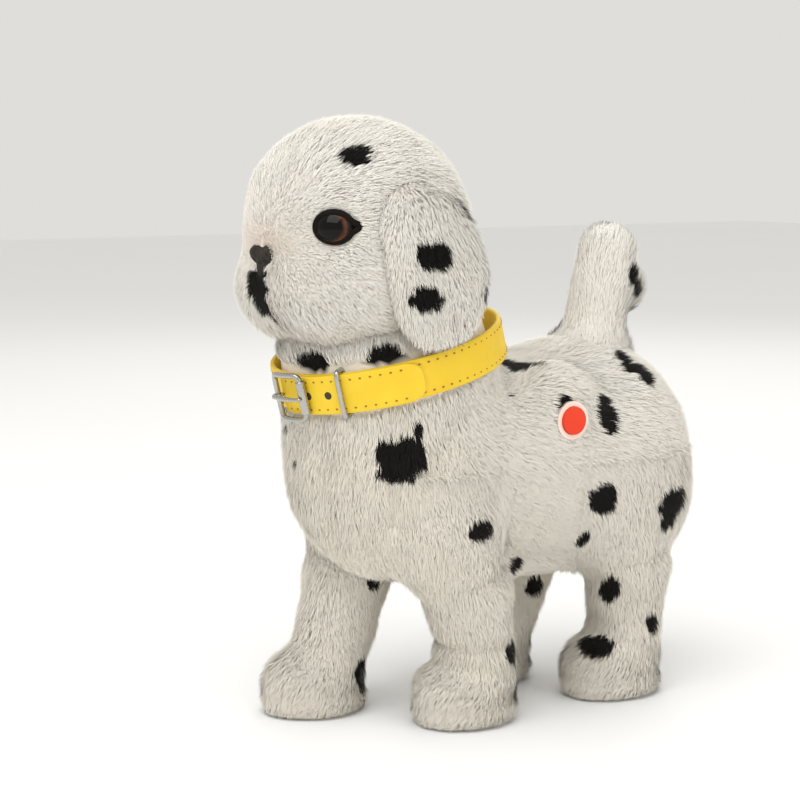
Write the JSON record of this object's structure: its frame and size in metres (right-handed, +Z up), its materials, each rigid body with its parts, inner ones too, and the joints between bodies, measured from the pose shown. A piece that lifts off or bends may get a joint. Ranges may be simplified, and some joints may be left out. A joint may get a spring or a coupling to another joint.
{
  "type": "walking plush puppy toy",
  "caption": "Standing short-pile plush puppy with swinging legs, turning head, wagging tail, leather collar with buckle, and a push button on its flank.",
  "frame": {"origin": "floor level under the middle of the puppy", "axes": "+Z up, -Y towards the nose, +X towards the left side of the puppy"},
  "size_m": [0.096, 0.1955, 0.2275],
  "materials": {
    "plush": "short cream-white pile with black spots",
    "strap_leather": "yellow grained leather",
    "bright_steel": "polished wire",
    "pin_steel": "ground",
    "eye_gloss": "black pupil, dark brown iris, clear gloss",
    "nose_flock": "black flocked",
    "case_plastic": "moulded",
    "gear_nylon": "satin natural nylon",
    "pinion_brass": "turned",
    "sole_rubber": "matt",
    "button_red": "smooth satin",
    "button_rim": "smooth",
    "switch_black": "smooth",
    "board_green": "solder mask",
    "cell_wrap": "printed sleeve left plain",
    "lead_red": "insulation"
  },
  "bodies": {
    "torso": {"body_plush": "plush", "collar_strap": "strap_leather", "strap_end": "strap_leather", "buckle_frame": "bright_steel", "strap_keeper": "bright_steel", "neck_post": "case_plastic", "case_left": "case_plastic", "case_right": "case_plastic", "case_screws": "pin_steel", "battery_box": "case_plastic", "battery_door": "case_plastic", "battery_door_screw": "pin_steel", "battery_cells": "cell_wrap", "battery_contacts": "pin_steel", "power_switch_body": "switch_black", "circuit_board": "board_green", "board_parts": "switch_black", "speaker": "switch_black", "wiring": "lead_red", "motor": "pin_steel", "motor_mount": "gear_nylon", "gear_pins": "pin_steel", "front_hip_pin": "pin_steel", "rear_hip_pin": "pin_steel", "button_housing": "button_rim", "touch_switch": "switch_black", "tail_bracket": "case_plastic"},
    "head": {"head_plush": "plush", "head_shell": "case_plastic", "ear_left": "plush", "ear_right": "plush", "eye_left": "eye_gloss", "eye_right": "eye_gloss", "nose": "nose_flock", "neck_socket": "gear_nylon"},
    "tail": {"tail_plush": "plush", "tail_stick": "gear_nylon"},
    "front_left_leg": {"front_left_strut": "gear_nylon", "front_left_plush": "plush", "sole_pads_left_front": "sole_rubber"},
    "front_right_leg": {"front_right_strut": "gear_nylon", "front_right_plush": "plush", "sole_pads_right_front": "sole_rubber"},
    "rear_left_leg": {"rear_left_strut": "gear_nylon", "rear_left_plush": "plush", "sole_pads_left_rear": "sole_rubber"},
    "rear_right_leg": {"rear_right_strut": "gear_nylon", "rear_right_plush": "plush", "sole_pads_right_rear": "sole_rubber"},
    "left_rod": {"link_rod_left": "gear_nylon"},
    "right_rod": {"link_rod_right": "gear_nylon"},
    "crank": {"crankshaft": "pin_steel", "crank_gear": "gear_nylon", "crank_discs": "gear_nylon"},
    "second_wheel": {"second_gear": "gear_nylon"},
    "first_wheel": {"first_gear": "gear_nylon"},
    "rotor": {"motor_pinion": "pinion_brass"},
    "button": {"button_cap": "button_red"},
    "power_knob": {"power_switch_knob": "switch_black"},
    "prong": {"buckle_prong": "bright_steel"}
  },
  "joints": [
    {"name": "front_left_hip", "type": "hinge", "parent": "torso", "child": "front_left_leg", "pos_m": [0, -0.0365, 0.087], "axis": [1, 0, 0], "range_deg": [-25, 0]},
    {"name": "front_right_hip", "type": "hinge", "parent": "torso", "child": "front_right_leg", "pos_m": [0, -0.0365, 0.087], "axis": [1, 0, 0], "range_deg": [0, 25]},
    {"name": "rear_left_hip", "type": "hinge", "parent": "torso", "child": "rear_left_leg", "pos_m": [0, 0.0435, 0.087], "axis": [1, 0, 0], "range_deg": [-25, 0]},
    {"name": "rear_right_hip", "type": "hinge", "parent": "torso", "child": "rear_right_leg", "pos_m": [0, 0.0435, 0.087], "axis": [1, 0, 0], "range_deg": [0, 25]},
    {"name": "left_rod_pivot", "type": "hinge", "parent": "front_left_leg", "child": "left_rod", "pos_m": [0.03, -0.03888, 0.09774], "axis": [1, 0, 0], "range_deg": [0, 25]},
    {"name": "right_rod_pivot", "type": "hinge", "parent": "front_right_leg", "child": "right_rod", "pos_m": [-0.03, -0.03412, 0.09774], "axis": [1, 0, 0], "range_deg": [-25, 0]},
    {"name": "crank_spin", "type": "hinge", "parent": "torso", "child": "crank", "pos_m": [0, -0.0365, 0.107], "axis": [1, 0, 0], "continuous": true},
    {"name": "second_gear_spin", "type": "hinge", "parent": "torso", "child": "second_wheel", "pos_m": [0, -0.02204, 0.1023], "axis": [1, 0, 0], "continuous": true},
    {"name": "first_gear_spin", "type": "hinge", "parent": "torso", "child": "first_wheel", "pos_m": [0, -0.00778, 0.09767], "axis": [1, 0, 0], "continuous": true},
    {"name": "motor_spin", "type": "hinge", "parent": "torso", "child": "rotor", "pos_m": [0, 0.00459, 0.09365], "axis": [1, 0, 0], "continuous": true},
    {"name": "head_turn", "type": "hinge", "parent": "torso", "child": "head", "pos_m": [0, -0.042, 0.139], "axis": [0, -0.2419, 0.9703], "range_deg": [-20, 20]},
    {"name": "tail_wag", "type": "hinge", "parent": "torso", "child": "tail", "pos_m": [0, 0.057, 0.13782], "axis": [0, 1, 0], "range_deg": [-20, 20]},
    {"name": "button_press", "type": "slide", "parent": "torso", "child": "button", "axis": [-1, 0, 0], "range_m": [0, 0.0012], "stiffness_N_per_m": 400, "springref_m": -0.0008},
    {"name": "power_switch", "type": "slide", "parent": "torso", "child": "power_knob", "axis": [0, 1, 0], "range_m": [0, 0.003]},
    {"name": "buckle_prong_pivot", "type": "hinge", "parent": "torso", "child": "prong", "pos_m": [-0.00246, -0.08889, 0.12731], "axis": [0, -0.2419, 0.9703], "range_deg": [-60, 0]}
  ],
  "couplings": [
    {"joint": "front_right_hip", "follows": "front_left_hip", "ratio": -1},
    {"joint": "rear_left_hip", "follows": "front_left_hip", "ratio": 1},
    {"joint": "rear_right_hip", "follows": "front_left_hip", "ratio": -1},
    {"joint": "left_rod_pivot", "follows": "front_left_hip", "ratio": -1},
    {"joint": "right_rod_pivot", "follows": "front_left_hip", "ratio": 1},
    {"joint": "second_gear_spin", "follows": "crank_spin", "ratio": -2.1667},
    {"joint": "first_gear_spin", "follows": "crank_spin", "ratio": 8.6667},
    {"joint": "motor_spin", "follows": "crank_spin", "ratio": -47.667}
  ]
}
